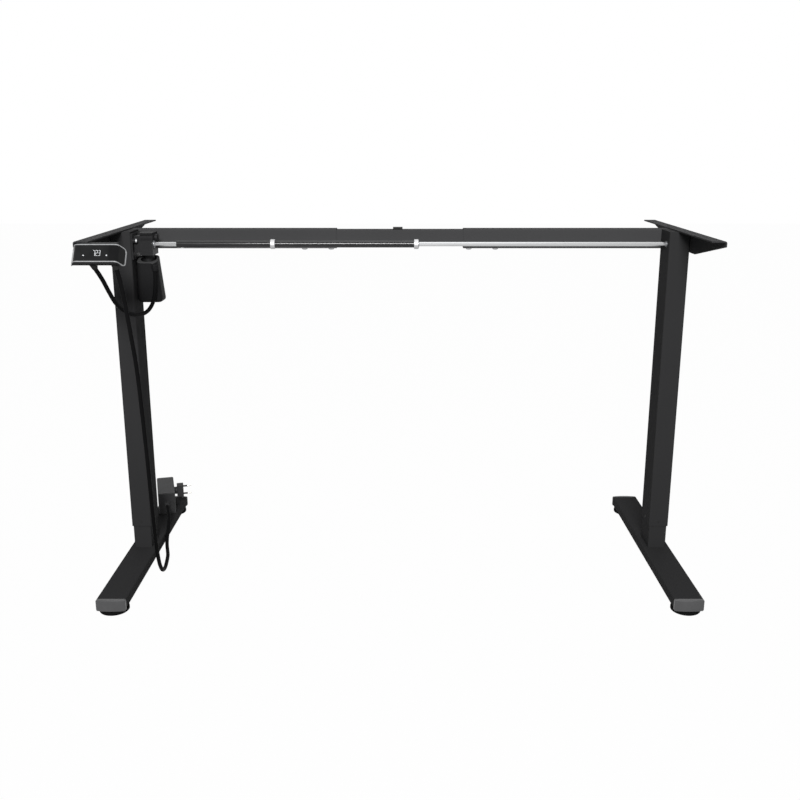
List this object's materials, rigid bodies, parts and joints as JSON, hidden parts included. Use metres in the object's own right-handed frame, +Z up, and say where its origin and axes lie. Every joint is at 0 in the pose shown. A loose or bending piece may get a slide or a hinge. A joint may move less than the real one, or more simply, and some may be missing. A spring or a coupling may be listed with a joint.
{
  "type": "standing desk frame",
  "caption": "Height-adjustable desk frame: two telescopic columns on long feet, a telescopic crossbar, one gearmotor with a hex drive line, a touch handset and a plug-in power supply.",
  "frame": {"origin": "on the floor, midway between the two columns and midway along the feet", "axes": "+X along the crossbar to the right-hand column, -Y to the user, +Z up; drawn at the lowest height and at the width in the picture"},
  "size_m": [1.2025, 0.577, 0.7232],
  "materials": {
    "powder_black": "fine matt powder coat",
    "foot_black": "matt powder coat",
    "bracket_black": "textured powder coat",
    "black_plastic": "moulded",
    "bush_plastic": "slide grade nylon",
    "black_rubber": "soft",
    "black_screw": "blackened",
    "zinc_screw": "bright zinc",
    "bar_steel": "drawn bright bar",
    "screw_steel": "rolled and oiled",
    "gear_steel": "sintered",
    "head_alloy": "as cast",
    "collar_alloy": "turned",
    "nut_plastic": "machined",
    "gearbox_black": "blackened die casting",
    "motor_steel": "drawn can",
    "winding_copper": "varnished winding",
    "handset_black": "moulded",
    "panel_gloss": "polished",
    "trim_silver": "satin plated",
    "board_green": "lacquered board",
    "cable_black": "round jacket",
    "supply_black": "fine grained"
  },
  "bodies": {
    "crossbar": {"centre_rail": "powder_black", "rail_pad": "black_rubber"},
    "left_frame": {"left_rail": "powder_black", "left_column": "powder_black", "left_clamp_screws": "zinc_screw", "left_bracket": "bracket_black", "left_bracket_screws": "black_screw", "left_lower_bush": "bush_plastic", "left_head_casting": "head_alloy", "gearbox_housing": "gearbox_black", "gearbox_lid": "black_plastic", "gearbox_screws": "zinc_screw", "motor_cover": "black_plastic", "motor_case": "motor_steel", "motor_rotor": "winding_copper", "motor_cable_plug": "black_plastic", "motor_cable": "cable_black", "cable_boots": "black_rubber", "handset_housing": "handset_black", "handset_panel": "panel_gloss", "handset_trim": "trim_silver", "handset_board": "board_green"},
    "right_frame": {"right_rail": "powder_black", "right_column": "powder_black", "right_clamp_screws": "zinc_screw", "right_bracket": "bracket_black", "right_bracket_screws": "black_screw", "right_lower_bush": "bush_plastic", "right_head_casting": "head_alloy"},
    "left_leg": {"left_inner_tube": "powder_black", "left_upper_bush": "bush_plastic", "left_screw_nut": "nut_plastic", "left_foot_beam": "foot_black", "left_foot_caps": "black_plastic", "left_foot_bolts": "black_screw", "power_cable": "cable_black", "power_supply": "supply_black", "mains_plug": "supply_black"},
    "right_leg": {"right_inner_tube": "powder_black", "right_upper_bush": "bush_plastic", "right_screw_nut": "nut_plastic", "right_foot_beam": "foot_black", "right_foot_caps": "black_plastic", "right_foot_bolts": "black_screw"},
    "left_screw": {"left_lead_screw": "screw_steel", "left_bevel_gear": "gear_steel"},
    "right_screw": {"right_lead_screw": "screw_steel", "right_bevel_gear": "gear_steel"},
    "left_drive": {"hex_stub": "bar_steel", "left_bevel_pinion": "gear_steel", "worm_wheel": "gear_steel", "drive_tube": "powder_black", "tube_collars": "collar_alloy", "tube_set_screw": "zinc_screw"},
    "right_drive": {"hex_rod": "bar_steel", "right_bevel_pinion": "gear_steel"},
    "left_front_glide": {"left_front_glide": "black_plastic"},
    "left_rear_glide": {"left_rear_glide": "black_plastic"},
    "right_front_glide": {"right_front_glide": "black_plastic"},
    "right_rear_glide": {"right_rear_glide": "black_plastic"}
  },
  "joints": [
    {"name": "left_extend", "type": "slide", "parent": "crossbar", "child": "left_frame", "axis": [-1, 0, 0], "range_m": [-0.08, 0.1]},
    {"name": "right_extend", "type": "slide", "parent": "crossbar", "child": "right_frame", "axis": [1, 0, 0], "range_m": [-0.08, 0.1]},
    {"name": "left_lift", "type": "slide", "parent": "left_frame", "child": "left_leg", "axis": [0, 0, -1], "range_m": [0, 0.45]},
    {"name": "right_lift", "type": "slide", "parent": "right_frame", "child": "right_leg", "axis": [0, 0, -1], "range_m": [0, 0.45]},
    {"name": "left_screw_turn", "type": "hinge", "parent": "left_frame", "child": "left_screw", "pos_m": [-0.5663, -0.011, 0.6941], "axis": [0, 0, 1], "range_deg": [0, 20260]},
    {"name": "right_screw_turn", "type": "hinge", "parent": "right_frame", "child": "right_screw", "pos_m": [0.5663, -0.011, 0.6941], "axis": [0, 0, 1], "range_deg": [-20260, 0]},
    {"name": "left_drive_turn", "type": "hinge", "parent": "left_frame", "child": "left_drive", "pos_m": [-0.5663, -0.011, 0.6941], "axis": [1, 0, 0], "range_deg": [0, 20260]},
    {"name": "right_drive_turn", "type": "hinge", "parent": "right_frame", "child": "right_drive", "pos_m": [0.5663, -0.011, 0.6941], "axis": [1, 0, 0], "range_deg": [0, 20260]},
    {"name": "left_front_glide_height", "type": "slide", "parent": "left_leg", "child": "left_front_glide", "axis": [0, 0, -1], "range_m": [0, 0.012]},
    {"name": "left_rear_glide_height", "type": "slide", "parent": "left_leg", "child": "left_rear_glide", "axis": [0, 0, -1], "range_m": [0, 0.012]},
    {"name": "right_front_glide_height", "type": "slide", "parent": "right_leg", "child": "right_front_glide", "axis": [0, 0, -1], "range_m": [0, 0.012]},
    {"name": "right_rear_glide_height", "type": "slide", "parent": "right_leg", "child": "right_rear_glide", "axis": [0, 0, -1], "range_m": [0, 0.012]}
  ],
  "couplings": [
    {"joint": "right_lift", "follows": "left_lift", "ratio": 1},
    {"joint": "left_screw_turn", "follows": "left_lift", "rad_per_m": 785.4},
    {"joint": "left_drive_turn", "follows": "left_lift", "rad_per_m": 785.4},
    {"joint": "right_drive_turn", "follows": "left_lift", "rad_per_m": 785.4},
    {"joint": "right_screw_turn", "follows": "left_lift", "rad_per_m": -785.4}
  ]
}
